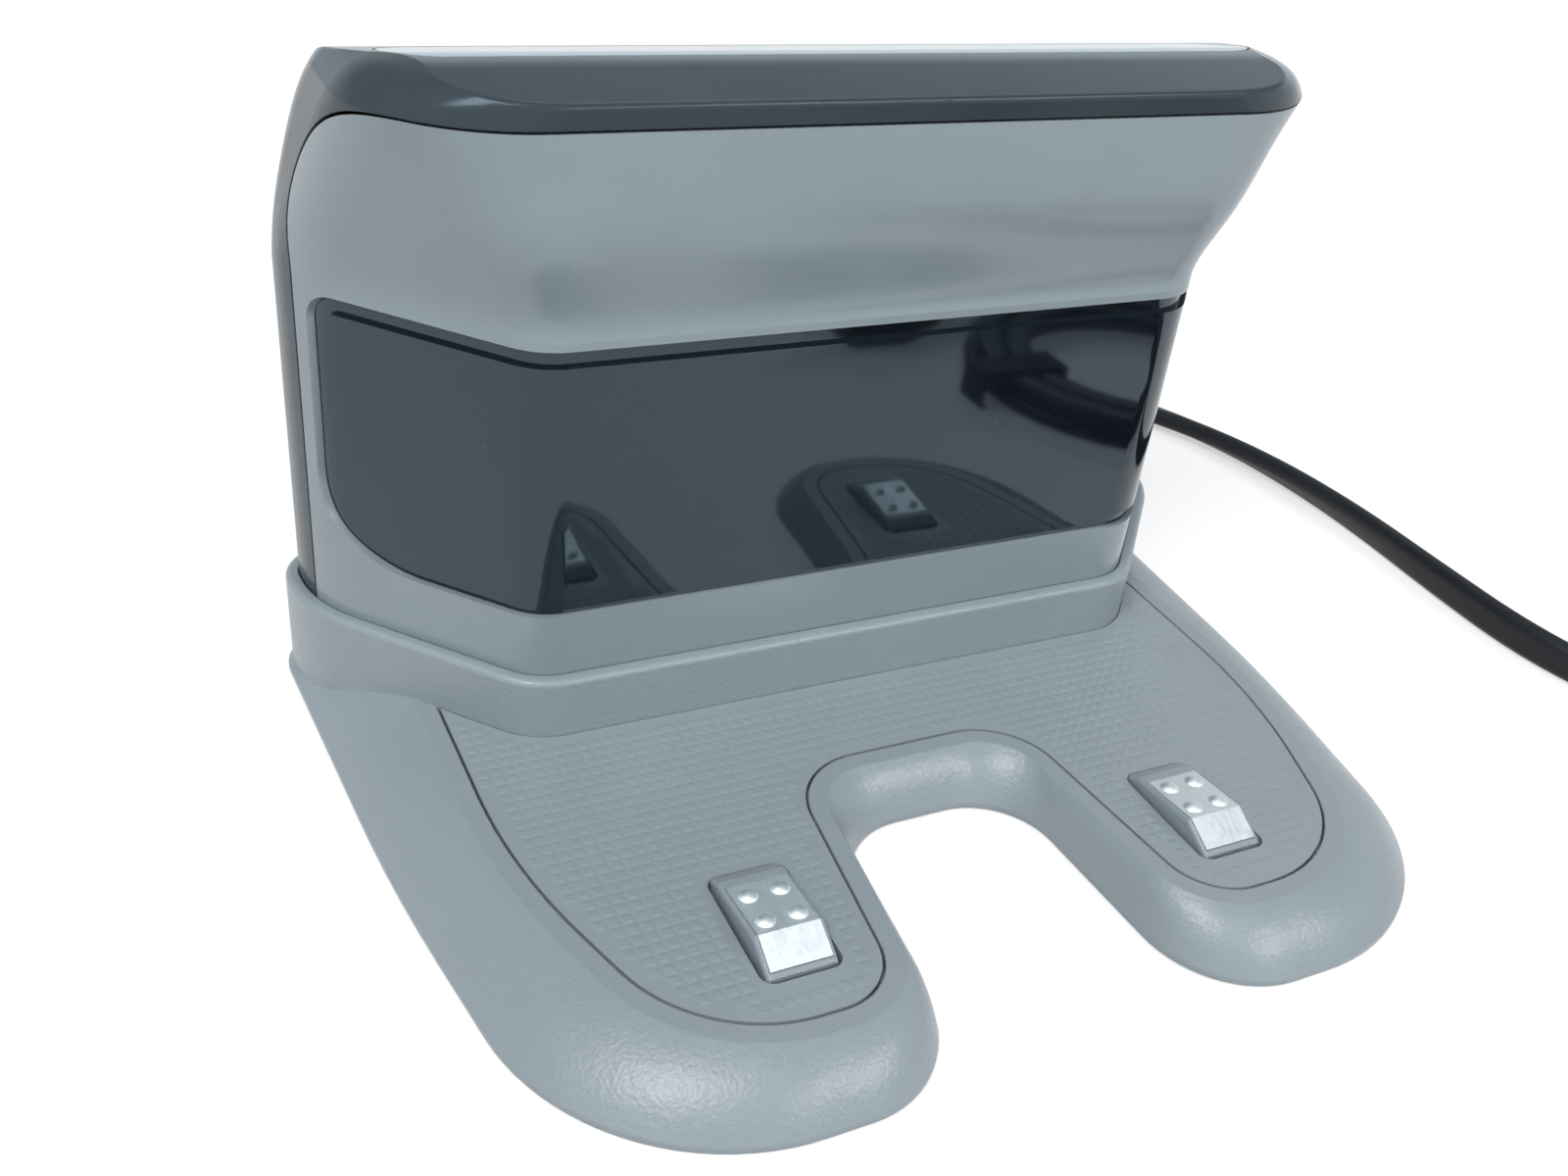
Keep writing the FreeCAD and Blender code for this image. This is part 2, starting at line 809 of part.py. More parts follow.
def make_front_housing(outside, inside):
    """Front half of the tower with the window opening and the posts of the control board."""
    body = outside.common(front_side(seam_gap)).cut(inside)
    body = body.cut(window_side(0).common(prism(grown(lower, 1), 0, tower_top)))
    posts = [tower_boss(s * tower_screw_places[0][0], tower_screw_places[0][1]) for s in (1, -1)]
    root = tower_front + tower_wall / 2
    for level in control_screw_levels:
        for s in (1, -1):
            x = s * control_screw_x
            post = rod_y(post_radius, x, level, root, control_y)
            hole = rod_y(board_screw_radius + screw_gap, x, level,
                         control_y - board_screw_length - 0.2, control_y)
            posts.append(post.cut(hole))
    return union([body] + posts)


def make_ir_window():
    """Wrapped window: raised middle, stepped border and a flange behind the wall."""
    back = tower_wall + window_back_gap + window_flange_thickness
    middle = shell(0, window_step).common(window_side(-window_gap - window_border))
    border = shell(window_step, back).common(window_side(-window_gap))
    below_flare = box(-reach, reach, -reach, reach, 0, flare_start)
    flange = shell(tower_wall + window_back_gap, back).common(window_side(window_flange)).common(below_flare)
    return union([middle, border, flange])


def power_corners():
    """Screw places of the power board."""
    return [(x, z) for x in (power_left + power_screw_inset, power_right - power_screw_inset)
            for z in (power_bottom + power_screw_inset, power_top - power_screw_inset)]


def crown_skin(outside, outline):
    """Uppermost layer of the crown inside an outline."""
    lowered = outside.copy()
    lowered.translate(V(0, 0, -inlay_thickness))
    return outside.common(prism(outline, rim_level - 4, tower_top + 1)).cut(lowered)


def make_rear_casing(outside, inside):
    """Rear half of the tower with the rim, the crown and the posts of the power board."""
    body = outside.cut(front_side(0)).cut(inside)
    body = body.cut(crown_skin(outside, grown(inlay, inlay_gap)))
    x, z = cord_exit
    body = body.cut(rod_y(gland_neck_radius + gland_gap, x, z, tower_rear - 2 * tower_wall, tower_rear + 1))
    posts = [tower_boss(s * tower_screw_places[1][0], tower_screw_places[1][1]) for s in (1, -1)]
    board_back = power_y + board_thickness
    for x, z in power_corners():
        post = rod_y(post_radius, x, z, board_back, tower_rear - tower_wall / 2)
        hole = rod_y(board_screw_radius + screw_gap, x, z, board_back,
                     power_y + board_screw_length + 0.2)
        posts.append(post.cut(hole))
    return union([body] + posts)


def plate_profile(y):
    """Section of a contact plate: flat pad that rises to the fold, then the ramp."""
    drop = plate_thickness * 1.1
    return [
        (y + plate_back, plate_back_level),
        (y - plate_fold, plate_fold_level),
        (y - plate_foot, plate_foot_level),
        (y - plate_foot, plate_foot_level - drop),
        (y - plate_fold, plate_fold_level - drop),
        (y + plate_back, plate_back_level - plate_thickness),
    ]


def make_contact_plate(x):
    """Contact plate with four domed bumps on its pad."""
    plate = side_block(plate_profile(contact_y), plate_half_width)
    rise = (plate_fold_level - plate_back_level) / (plate_back + plate_fold)
    normal = V(0, rise, 1).normalize()
    sunk = plate_thickness / 2
    low_angle = math.degrees(math.asin((bump_radius - bump_height - sunk) / bump_radius))
    bumps = []
    for dx in (-bump_pitch_x / 2, bump_pitch_x / 2):
        for dy in (-bump_pitch_y / 2, bump_pitch_y / 2):
            level = plate_fold_level - rise * (dy + plate_fold)
            centre = V(dx, contact_y + dy, level) - normal * (bump_radius - bump_height)
            bumps.append(Part.makeSphere(bump_radius, centre, normal, low_angle, 90, 360))
    solid = union([plate] + bumps)
    solid.translate(V(x, 0, 0))
    return solid


def make_contact_carrier(x):
    """Tilting carrier: rounded block with the seat of the plate, hubs, pin bore and spring seat."""
    y = contact_y
    outline = [
        (y + carrier_back, carrier_heel_level),
        (y + carrier_back, plate_back_level - carrier_back_drop),
        (y + plate_back + carrier_ledge, plate_back_level - carrier_ledge_drop),
        (y - plate_fold, plate_fold_level),
        (y - plate_foot, plate_foot_level),
        (y - carrier_front, plate_foot_level - carrier_front_drop),
        (y - carrier_front, carrier_toe_level),
        (y - spring_front + spring_room, carrier_toe_level - carrier_belly_rise),
        (y + pivot_back - hub_room, carrier_heel_level),
    ]
    body = side_block(outline, carrier_half_width)
    round_edges = []
    for e in body.Edges:
        along_side = abs(e.BoundBox.XMin - e.BoundBox.XMax) < 0.01
        if along_side and e.BoundBox.ZMin > carrier_toe_level + 1:
            round_edges.append(e)
    body = body.makeFillet(carrier_round, round_edges)
    hub = Part.makeCylinder(hub_radius, 2 * hub_half_length,
                            V(-hub_half_length, y + pivot_back, pivot_level), V(1, 0, 0))
    body = union([body, hub])
    drop = plate_thickness * 1.1
    seat = [
        (y + plate_back + plate_side_gap, plate_fold_level + 3),
        (y - plate_foot - plate_side_gap, plate_fold_level + 3),
        (y - plate_foot - plate_side_gap, plate_foot_level - drop - plate_side_gap / 2),
        (y - plate_foot, plate_foot_level - drop),
        (y - plate_fold, plate_fold_level - drop),
        (y + plate_back, plate_back_level - plate_thickness),
        (y + plate_back + plate_side_gap, plate_back_level - plate_thickness),
    ]
    body = body.cut(side_block(seat, plate_half_width + plate_side_gap))
    bore = Part.makeCylinder(pin_radius + pin_run_gap, 4 * hub_half_length,
                             V(-2 * hub_half_length, y + pivot_back, pivot_level), V(1, 0, 0))
    cup_radius_x = spring_mean_radius + spring_wire / 2 + spring_seat_gap
    cup = rod(cup_radius_x, 0, y - spring_front, 0, carrier_toe_level + spring_seat_depth)
    body = body.cut([bore, cup])
    body.translate(V(x, 0, 0))
    return body


def make_contact_spring(x):
    """Coil spring between the strip on the cover and the seat in the carrier."""
    bottom = cover_top + terminal_thickness
    top = carrier_toe_level + spring_seat_depth
    rise = top - bottom - spring_wire
    helix = Part.makeHelix(rise / spring_turns, rise, spring_mean_radius)
    ring = Part.Wire(Part.makeCircle(spring_wire / 2, V(spring_mean_radius, 0, 0), V(0, 1, 0)))
    coil = Part.Wire(helix).makePipeShell([ring], True, True)
    coil.translate(V(x, contact_y - spring_front, bottom + spring_wire / 2))
    return coil


def make_contact_pins():
    """Pivot pins, held in the lugs under the deck."""
    return Part.makeCompound([
        Part.makeCylinder(pin_radius, 2 * pin_half_length,
                          V(s * contact_x - pin_half_length, contact_y + pivot_back, pivot_level),
                          V(1, 0, 0))
        for s in (1, -1)])


def make_spring_terminals():
    """Metal strips under the springs, each longer towards the middle of the dock."""
    y = contact_y - spring_front
    strips = []
    for s in (1, -1):
        ends = sorted((s * terminal_inner_x, s * (contact_x + terminal_half_width)))
        strips.append(box(ends[0], ends[1], y - terminal_half_depth, y + terminal_half_depth,
                          cover_top, cover_top + terminal_thickness))
    return Part.makeCompound(strips)


def make_contact_leads():
    """Leads from the strips, along the cover and up behind the control board."""
    level = cover_top + terminal_thickness + lead_radius
    start = contact_y - spring_front
    board_back = control_y + board_thickness + lead_radius
    run = board_back - start
    leads = []
    for s in (1, -1):
        x = s * lead_x
        sway = s * lead_sway
        leads.append(tube([
            (x, start, level),
            (x - 0.3 * sway, start + 0.21 * run, level),
            (x - sway, start + 0.61 * run, level),
            (x - 0.6 * sway, board_back + 0.9 * lead_slack, level),
            (x, board_back + lead_slack, (level + lead_top) / 2),
            (x - 0.2 * sway, board_back, lead_top),
        ], lead_radius))
    return Part.makeCompound(leads)


def board_screw(x, z, y_seat, head_side):
    """Screw along Y; head_side is +1 where the head is on the +Y side."""
    if head_side > 0:
        head = rod_y(board_head_radius, x, z, y_seat, y_seat + board_head_height)
        shank = rod_y(board_screw_radius, x, z, y_seat - board_screw_length, y_seat)
    else:
        head = rod_y(board_head_radius, x, z, y_seat - board_head_height, y_seat)
        shank = rod_y(board_screw_radius, x, z, y_seat, y_seat + board_screw_length)
    return union([head, shank])


def make_control_board():
    """Upright board behind the window, with its screw holes."""
    board = box(-control_half_width, control_half_width, control_y, control_y + board_thickness,
                control_bottom, control_top)
    holes = [rod_y(board_screw_radius + screw_gap, s * control_screw_x, level, control_y - 1, control_y + 3)
             for s in (1, -1) for level in control_screw_levels]
    return board.cut(holes)


def make_board_screws():
    """Screws of both boards."""
    screws = [board_screw(s * control_screw_x, level, control_y + board_thickness, 1)
              for s in (1, -1) for level in control_screw_levels]
    screws += [board_screw(x, z, power_y, -1) for x, z in power_corners()]
    return Part.makeCompound(screws)


def emitter_level():
    """Height of the row of emitters."""
    return (holder_bottom + holder_top) / 2


def make_led_holder():
    """Bar that holds the emitters in front of the control board."""
    bar = box(-holder_half_width, holder_half_width, control_y - holder_depth, control_y,
              holder_bottom, holder_top)
    upright = [e for e in bar.Edges if e.BoundBox.YLength > holder_depth - 0.1]
    bar = bar.makeFillet(holder_round, upright)
    holes = [rod_y(emitter_radius + emitter_gap, x, emitter_level(), control_y - 2 * holder_depth, control_y)
             for x in emitter_places]
    return bar.cut(holes)


def make_ir_leds():
    """Domed emitters that look out through the window."""
    leds = []
    for x in emitter_places:
        tip = control_y - emitter_length
        body = rod_y(emitter_radius, x, emitter_level(), tip, control_y)
        dome = Part.makeSphere(emitter_radius, V(x, tip, emitter_level()), V(0, -1, 0), 0, 90, 360)
        leds.append(union([body, dome]))
    return Part.makeCompound(leds)


def make_power_board():
    """Upright board on the posts of the rear casing."""
    board = box(power_left, power_right, power_y, power_y + board_thickness, power_bottom, power_top)
    holes = [rod_y(board_screw_radius + screw_gap, x, z, power_y - 1, power_y + 3)
             for x, z in power_corners()]
    return board.cut(holes)


def on_power_board(size, place):
    """Block that stands on the power board towards the front."""
    w, d, h = size
    x, z = place
    return box(x - w / 2, x + w / 2, power_y - d, power_y, z - h / 2, z + h / 2)


def make_transformer():
    """Wound former with the core round it."""
    former = on_power_board(coil_former, coil_former_place)
    core = on_power_board(core_band, coil_former_place)
    core.translate(V(0, (core_band[1] - coil_former[1]) / 2, 0))
    return union([former, core])


def make_capacitors():
    """Round capacitors on the power board."""
    cans = []
    for x, z in capacitor_places:
        can = rod_y(capacitor_radius, x, z, power_y - capacitor_length, power_y)
        front = [e for e in can.Edges if e.BoundBox.YMax < power_y - capacitor_length + 0.1]
        cans.append(can.makeFillet(capacitor_round, front))
    return Part.makeCompound(cans)


def make_mains_tail():
    """Both cores of the cord from the strain relief to the terminal."""
    x, z = cord_exit
    inner = tower_rear - tower_wall - gland_flange
    face = terminal_block_place[0] + terminal_block[0] / 2
    cores = []
    for s in (1, -1):
        level = z + s * tail_pitch / 2
        cores.append(tube([
            (x, inner, level),
            (x - tail_sway, inner - tail_straight, level),
            (x - tail_bend, inner - tail_turn, level),
            (face, inner - tail_depth, level),
        ], tail_radius))
    return Part.makeCompound(cores)


def make_board_link():
    """Ribbon that hangs between the two boards."""
    y0 = control_y + board_thickness
    centre = (y0 + power_y) / 2
    radius = (power_y - y0) / 2 - plug_in[1] / 2
    face = Part.makeCylinder(radius, 2 * link_half_width, V(link_x - link_half_width, centre, link_level),
                             V(1, 0, 0))
    face = face.cut(Part.makeCylinder(radius - link_thickness, 4 * link_half_width,
                                      V(link_x - 2 * link_half_width, centre, link_level), V(1, 0, 0)))
    return face.common(box(-reach, reach, 0, reach, 0, link_level))


def make_link_connectors():
    """Plug housings at both ends of the ribbon."""
    w, d, h = plug_in
    y0 = control_y + board_thickness
    return Part.makeCompound([
        box(link_x - w / 2, link_x + w / 2, y0, y0 + d, link_level, link_level + h),
        box(link_x - w / 2, link_x + w / 2, power_y - d, power_y, link_level, link_level + h),
    ])


def make_gland():
    """Strain relief: flanges on both sides of the rear wall and a ribbed, tapered sleeve."""
    x, z = cord_exit
    inner = tower_rear - tower_wall
    tip = cord_route[0][1]
    root = tip - gland_length
    pieces = [
        rod_y(gland_flange_radius, x, z, inner - gland_flange, inner),
        rod_y(gland_neck_radius, x, z, inner, tower_rear),
        rod_y(gland_flange_radius, x, z, tower_rear, root + gland_flange),
        Part.makeCone(gland_root_radius, gland_tip_radius, gland_length - gland_flange,
                      V(x, root + gland_flange, z), V(0, 1, 0)),
    ]
    pitch = (gland_length - gland_flange) / (gland_ribs + 2)
    for i in range(1, gland_ribs + 1):
        share = i / (gland_ribs + 2)
        radius = gland_root_radius + (gland_tip_radius - gland_root_radius) * share + gland_rib_height
        y = root + gland_flange + pitch * i
        pieces.append(rod_y(radius, x, z, y, y + pitch * gland_rib_share))
    return union(pieces)


def make_cord_coil():
    """Outer shape of the coil that the unseen length lies in."""
    cx, cy = coil_centre
    ring = rod(coil_outer_radius, cx, cy, 0, coil_height)
    ring = ring.cut(rod(coil_inner_radius, cx, cy, -1, coil_height + 1))
    return ring.makeFillet(coil_round, [e for e in ring.Edges if e.BoundBox.ZLength < 0.01])


def make_cord_tie():
    """Strap round the coil."""
    cx, cy = coil_centre
    inner = coil_inner_radius - tie_gap
    outer = coil_outer_radius + tie_gap
    top = coil_height + tie_gap
    strap = box(cx - outer - tie_thickness, cx - inner + tie_thickness,
                cy - tie_width / 2, cy + tie_width / 2, 0, top + tie_thickness)
    strap = strap.makeFillet(tie_round, [e for e in strap.Edges if e.BoundBox.YLength > tie_width - 0.1])
    return strap.cut(make_cord_coil())


def from_coil(point):
    """Place in the frame of a point measured from the middle of the coil."""
    x, y, z = point
    return coil_centre[0] + x, coil_centre[1] + y, z


def make_plug_body():
    """Flat two-pin plug, pins towards -X, with a tapered sleeve on the cord side."""
    x, y, z = from_coil(tail_route[-1])
    start = x - plug_neck_length
    half = plug_width / 2
    waist = plug_waist / 2
    shoulder = start - plug_length * plug_shoulder_share
    face = start - plug_length
    outline = [(face, -half, plug_round), (shoulder, -half, 2 * plug_round), (start, -waist, plug_round),
               (start, waist, plug_round), (shoulder, half, 2 * plug_round), (face, half, plug_round)]
    body = prism(outline, 0, plug_height)
    flat = [e for e in body.Edges if e.BoundBox.ZLength < 0.01]
    body = body.makeFillet(plug_edge_round, flat)
    body.translate(V(0, y, z - plug_height / 2))
    neck = Part.makeCone(plug_neck_radius, plug_neck_tip_radius, plug_neck_length + 2,
                         V(start - 2, y, z), V(1, 0, 0))
    return union([body, neck])


def make_plug_pins():
    """Two round pins of the plug with rounded tips."""
    x, y, z = from_coil(tail_route[-1])
    face = x - plug_neck_length - plug_length
    pins = []
    for s in (1, -1):
        pin = Part.makeCylinder(plug_pin_radius, plug_pin_length,
                                V(face, y + s * plug_pin_pitch / 2, z), V(-1, 0, 0))
        tip = [e for e in pin.Edges if e.BoundBox.XMax < face - plug_pin_length + 0.1]
        pins.append(pin.makeFillet(plug_pin_radius / 2, tip))
    return Part.makeCompound(pins)


os.makedirs("parts", exist_ok=True)
outside = tower_body()
inside = tower_space()
nodes = {
    "base_tray": make_base_tray(),
    "tread_plate": make_tread_plate(),
    "bottom_cover": make_bottom_cover(),
    "rubber_feet": make_feet(),
    "cover_screws": make_cover_screws(),
    "tower_screws": make_tower_screws(),
    "front_housing": make_front_housing(outside, inside),
    "ir_window": make_ir_window(),
    "rear_casing": make_rear_casing(outside, inside),
    "top_inlay": crown_skin(outside, inlay),
    "contact_carrier_left": make_contact_carrier(-contact_x),
    "contact_carrier_right": make_contact_carrier(contact_x),
    "contact_plate_left": make_contact_plate(-contact_x),
    "contact_plate_right": make_contact_plate(contact_x),
    "contact_spring_left": make_contact_spring(-contact_x),
    "contact_spring_right": make_contact_spring(contact_x),
    "contact_pins": make_contact_pins(),
    "spring_terminals": make_spring_terminals(),
    "contact_leads": make_contact_leads(),
    "control_board": make_control_board(),
    "board_screws": make_board_screws(),
    "led_holder": make_led_holder(),
    "ir_leds": make_ir_leds(),
    "power_board": make_power_board(),
    "power_transformer": make_transformer(),
    "power_capacitors": make_capacitors(),
    "mains_terminal": on_power_board(terminal_block, terminal_block_place),
    "mains_tail": make_mains_tail(),
    "board_link": make_board_link(),
    "link_connectors": make_link_connectors(),
    "cord_gland": make_gland(),
    "cord_run": tube(cord_route, cord_diameter / 2),
    "cord_coil": make_cord_coil(),
    "cord_tie": make_cord_tie(),
    "cord_tail": tube([from_coil(p) for p in tail_route], cord_diameter / 2),
    "plug_body": make_plug_body(),
    "plug_pins": make_plug_pins(),
}
for name, shape in nodes.items():
    print(name, "solids", len(shape.Solids), "valid", shape.isValid(), "volume", round(shape.Volume, 1))
    shape.exportStep("parts/" + name + ".step")
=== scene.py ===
import json
import math

import bpy
from mathutils import Matrix, Vector


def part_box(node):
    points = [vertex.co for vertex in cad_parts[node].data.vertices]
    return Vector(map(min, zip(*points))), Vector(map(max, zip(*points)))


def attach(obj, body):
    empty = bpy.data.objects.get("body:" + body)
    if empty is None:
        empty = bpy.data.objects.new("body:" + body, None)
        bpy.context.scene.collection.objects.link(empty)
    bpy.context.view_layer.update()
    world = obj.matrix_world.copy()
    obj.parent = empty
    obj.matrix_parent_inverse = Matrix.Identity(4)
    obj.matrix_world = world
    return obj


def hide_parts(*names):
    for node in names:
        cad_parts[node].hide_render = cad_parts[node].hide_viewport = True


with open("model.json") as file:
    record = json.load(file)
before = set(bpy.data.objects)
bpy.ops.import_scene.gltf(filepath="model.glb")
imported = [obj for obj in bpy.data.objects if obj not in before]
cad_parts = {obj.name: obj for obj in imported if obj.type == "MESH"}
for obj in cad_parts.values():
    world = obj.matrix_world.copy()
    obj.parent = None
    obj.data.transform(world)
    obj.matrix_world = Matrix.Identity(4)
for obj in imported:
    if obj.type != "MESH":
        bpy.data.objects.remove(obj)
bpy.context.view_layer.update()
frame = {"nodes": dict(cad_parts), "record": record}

MM = 0.001
nodes = frame["nodes"]
scene = bpy.context.scene


# Node helpers
def add(tree, kind, **settings):
    """One node of a tree, with its properties set."""
    node = tree.nodes.new(kind)
    for name, value in settings.items():
        setattr(node, name, value)
    return node


def feed(tree, source, target):
    """A link between two sockets, or a plain value on the target socket."""
    if isinstance(source, bpy.types.NodeSocket):
        tree.links.new(source, target)
    else:
        target.default_value = source


def math_node(tree, operation, a, b):
    """The result of one sum on two values or sockets."""
    node = add(tree, "ShaderNodeMath", operation=operation)
    feed(tree, a, node.inputs[0])
    feed(tree, b, node.inputs[1])
    return node.outputs[0]


def ramp(tree, value, low, high, low_out=0.0, high_out=1.0):
    """A value mapped from one range onto another, without overshoot."""
    node = add(tree, "ShaderNodeMapRange", clamp=True)
    for socket, given in zip(node.inputs, (value, low, high, low_out, high_out)):
        feed(tree, given, socket)
    return node.outputs[0]


def tint(tree, factor, first, second):
    """A colour between two colours."""
    node = add(tree, "ShaderNodeMix", data_type="RGBA")
    feed(tree, factor, node.inputs[0])
    feed(tree, first, node.inputs[6])
    feed(tree, second, node.inputs[7])
    return node.outputs[2]


def noise(tree, place, scale, detail=2.0, roughness=0.5):
    """Cloudy noise between 0 and 1."""
    node = add(tree, "ShaderNodeTexNoise")
    feed(tree, place, node.inputs["Vector"])
    feed(tree, scale, node.inputs["Scale"])
    node.inputs["Detail"].default_value = detail
    node.inputs["Roughness"].default_value = roughness
    return node.outputs["Fac"]


def new_group(name, inputs, outputs):
    """An empty shader group with named values, and its two ends."""
    tree = bpy.data.node_groups.new(name, "ShaderNodeTree")
    for label, kind in inputs:
        tree.interface.new_socket(label, in_out="INPUT", socket_type=kind)
    for label in outputs:
        tree.interface.new_socket(label, in_out="OUTPUT", socket_type="NodeSocketFloat")
    return tree, add(tree, "NodeGroupInput").outputs, add(tree, "NodeGroupOutput").inputs


VECTOR, VALUE = "NodeSocketVector", "NodeSocketFloat"


# Effects that several finishes share; scales are in cells or waves per metre
FINE_SHARE, PIT_SHARE = 0.65, 0.35
PIT_SCALE, TONE_SCALE = 0.55, 0.02
DUST_CELLS, DUST_PATCHES = 420.0, 40.0
DUST_CHANCE = 0.72
WIPED_SMEARS = 55.0
ROLLED_LINES = 1600.0


def make_moulded_grain():
    """Spark-eroded mould texture: fine pits, and a slow change of tone over the piece."""
    tree, given, out = new_group(
        "moulded grain", (("Place", VECTOR), ("Fineness", VALUE)), ("Height", "Tone"))
    fine = noise(tree, given["Place"], given["Fineness"], 2.0, 0.65)
    pits = add(tree, "ShaderNodeTexVoronoi", feature="F1")
    feed(tree, given["Place"], pits.inputs["Vector"])
    feed(tree, math_node(tree, "MULTIPLY", given["Fineness"], PIT_SCALE), pits.inputs["Scale"])
    height = math_node(tree, "MULTIPLY", fine, FINE_SHARE)
    pitted = math_node(tree, "MULTIPLY", pits.outputs["Distance"], PIT_SHARE)
    feed(tree, math_node(tree, "ADD", height, pitted), out["Height"])
    slow = noise(tree, given["Place"], math_node(tree, "MULTIPLY", given["Fineness"], TONE_SCALE))
    feed(tree, slow, out["Tone"])
    return tree


def make_handling():
    """What use leaves behind: single dust grains and soft wiped smears."""
    tree, given, out = new_group(
        "handling", (("Place", VECTOR), ("Dust size", VALUE)), ("Dust", "Smear"))
    cells = add(tree, "ShaderNodeTexVoronoi", feature="F1")
    feed(tree, given["Place"], cells.inputs["Vector"])
    cells.inputs["Scale"].default_value = DUST_CELLS
    chance = add(tree, "ShaderNodeSeparateColor")
    feed(tree, cells.outputs["Color"], chance.inputs[0])
    size = math_node(tree, "MULTIPLY", ramp(tree, chance.outputs[0], DUST_CHANCE, 1.0), given["Dust size"])
    grain = math_node(tree, "LESS_THAN", cells.outputs["Distance"], size)
    patch = ramp(tree, noise(tree, given["Place"], DUST_PATCHES, 3.0), 0.48, 0.62)
    feed(tree, math_node(tree, "MULTIPLY", grain, patch), out["Dust"])
    drawn = add(tree, "ShaderNodeMapping")
    feed(tree, given["Place"], drawn.inputs["Vector"])
    drawn.inputs["Rotation"].default_value = (0.2, 0.3, 0.5)
    drawn.inputs["Scale"].default_value = (1.0, 0.35, 1.6)
    feed(tree, noise(tree, drawn.outputs[0], WIPED_SMEARS, 3.0, 0.6), out["Smear"])
    return tree


def make_drawn_lines():
    """Fine lines that rolling or drawing leaves on metal, along one direction."""
    tree, given, out = new_group(
        "drawn lines", (("Place", VECTOR), ("Along", VECTOR)), ("Lines",))
    stretched = add(tree, "ShaderNodeMapping")
    feed(tree, given["Place"], stretched.inputs["Vector"])
    feed(tree, given["Along"], stretched.inputs["Scale"])
    feed(tree, noise(tree, stretched.outputs[0], ROLLED_LINES, 3.0, 0.7), out["Lines"])
    return tree


MOULDED_GRAIN = make_moulded_grain()
HANDLING = make_handling()
DRAWN_LINES = make_drawn_lines()


# Finishes; depths and radii are in metres
TONE_SPREAD = 0.025
MATT_SPREAD = 0.12
COAT_MATT = 0.03
DUST_COLOUR = (0.55, 0.57, 0.58, 1.0)
LINT_COLOUR = (0.35, 0.36, 0.37, 1.0)
METAL_DUST, METAL_LINE_DEPTH = 0.012, 0.000012
RUBBER_FINENESS, RUBBER_LINT = 2600.0, 0.03
RUBBER_IOR, RUBBER_DEPTH = 1.34, 0.00003


def place_group(tree, group, **values):
    """The outputs of a shared effect that is given these values."""
    node = add(tree, "ShaderNodeGroup", node_tree=group)
    for name, value in values.items():
        feed(tree, value, node.inputs[name.replace("_", " ")])
    return node.outputs


def start_finish(name):
    """A new material: its tree, its shader and the piece's own coordinates."""
    material = bpy.data.materials.new(name)
    material.use_nodes = True
    tree = material.node_tree
    shader = tree.nodes["Principled BSDF"]
    place = add(tree, "ShaderNodeTexCoord").outputs["Object"]
    return material, tree, shader, place


def emboss(tree, shader, height, distance, edge=0.0):
    """Relief on a surface whose sharp edges are broken by a small radius."""
    bump = add(tree, "ShaderNodeBump")
    bump.inputs["Distance"].default_value = distance
    feed(tree, height, bump.inputs["Height"])
    if edge:
        broken = add(tree, "ShaderNodeBevel", samples=4)
        broken.inputs["Radius"].default_value = edge
        feed(tree, broken.outputs[0], bump.inputs["Normal"])
    tree.links.new(bump.outputs[0], shader.inputs["Normal"])


def grown_tone(colour, factor):
    """A colour made lighter or darker by a factor, as four values."""
    return (*(min(1.0, c * factor) for c in colour), 1.0)


def moulded_plastic(name, colour, fineness, pit_depth, matt, dust=0.0, ior=1.5, polish=0.0,
                    edge=0.0, sheen=(1.0, 1.0, 1.0)):
    """Injection-moulded plastic: tone, mould texture, a little dust and wiped smears."""
    material, tree, shader, place = start_finish(name)
    grain = place_group(tree, MOULDED_GRAIN, Place=place, Fineness=fineness)
    use = place_group(tree, HANDLING, Place=place, Dust_size=dust)
    body = tint(tree, ramp(tree, grain["Tone"], 0.3, 0.7),
                grown_tone(colour, 1.0 - TONE_SPREAD), grown_tone(colour, 1.0 + TONE_SPREAD))
    peaks = ramp(tree, grain["Height"], 0.3, 0.7, 0.0, 0.12)
    body = tint(tree, peaks, body, grown_tone(colour, 1.25))
    body = tint(tree, use["Dust"], body, DUST_COLOUR)
    feed(tree, body, shader.inputs["Base Color"])
    rough = ramp(tree, use["Smear"], 0.3, 0.7, matt * (1.0 - MATT_SPREAD), matt * (1.0 + MATT_SPREAD))
    rough = math_node(tree, "MAXIMUM", rough, math_node(tree, "MULTIPLY", use["Dust"], 0.8))
    feed(tree, rough, shader.inputs["Roughness"])
    shader.inputs["IOR"].default_value = ior
    shader.inputs["Specular Tint"].default_value = (*sheen, 1.0)
    shader.inputs["Coat Weight"].default_value = polish
    shader.inputs["Coat Roughness"].default_value = COAT_MATT
    emboss(tree, shader, grain["Height"], pit_depth, edge)
    return material


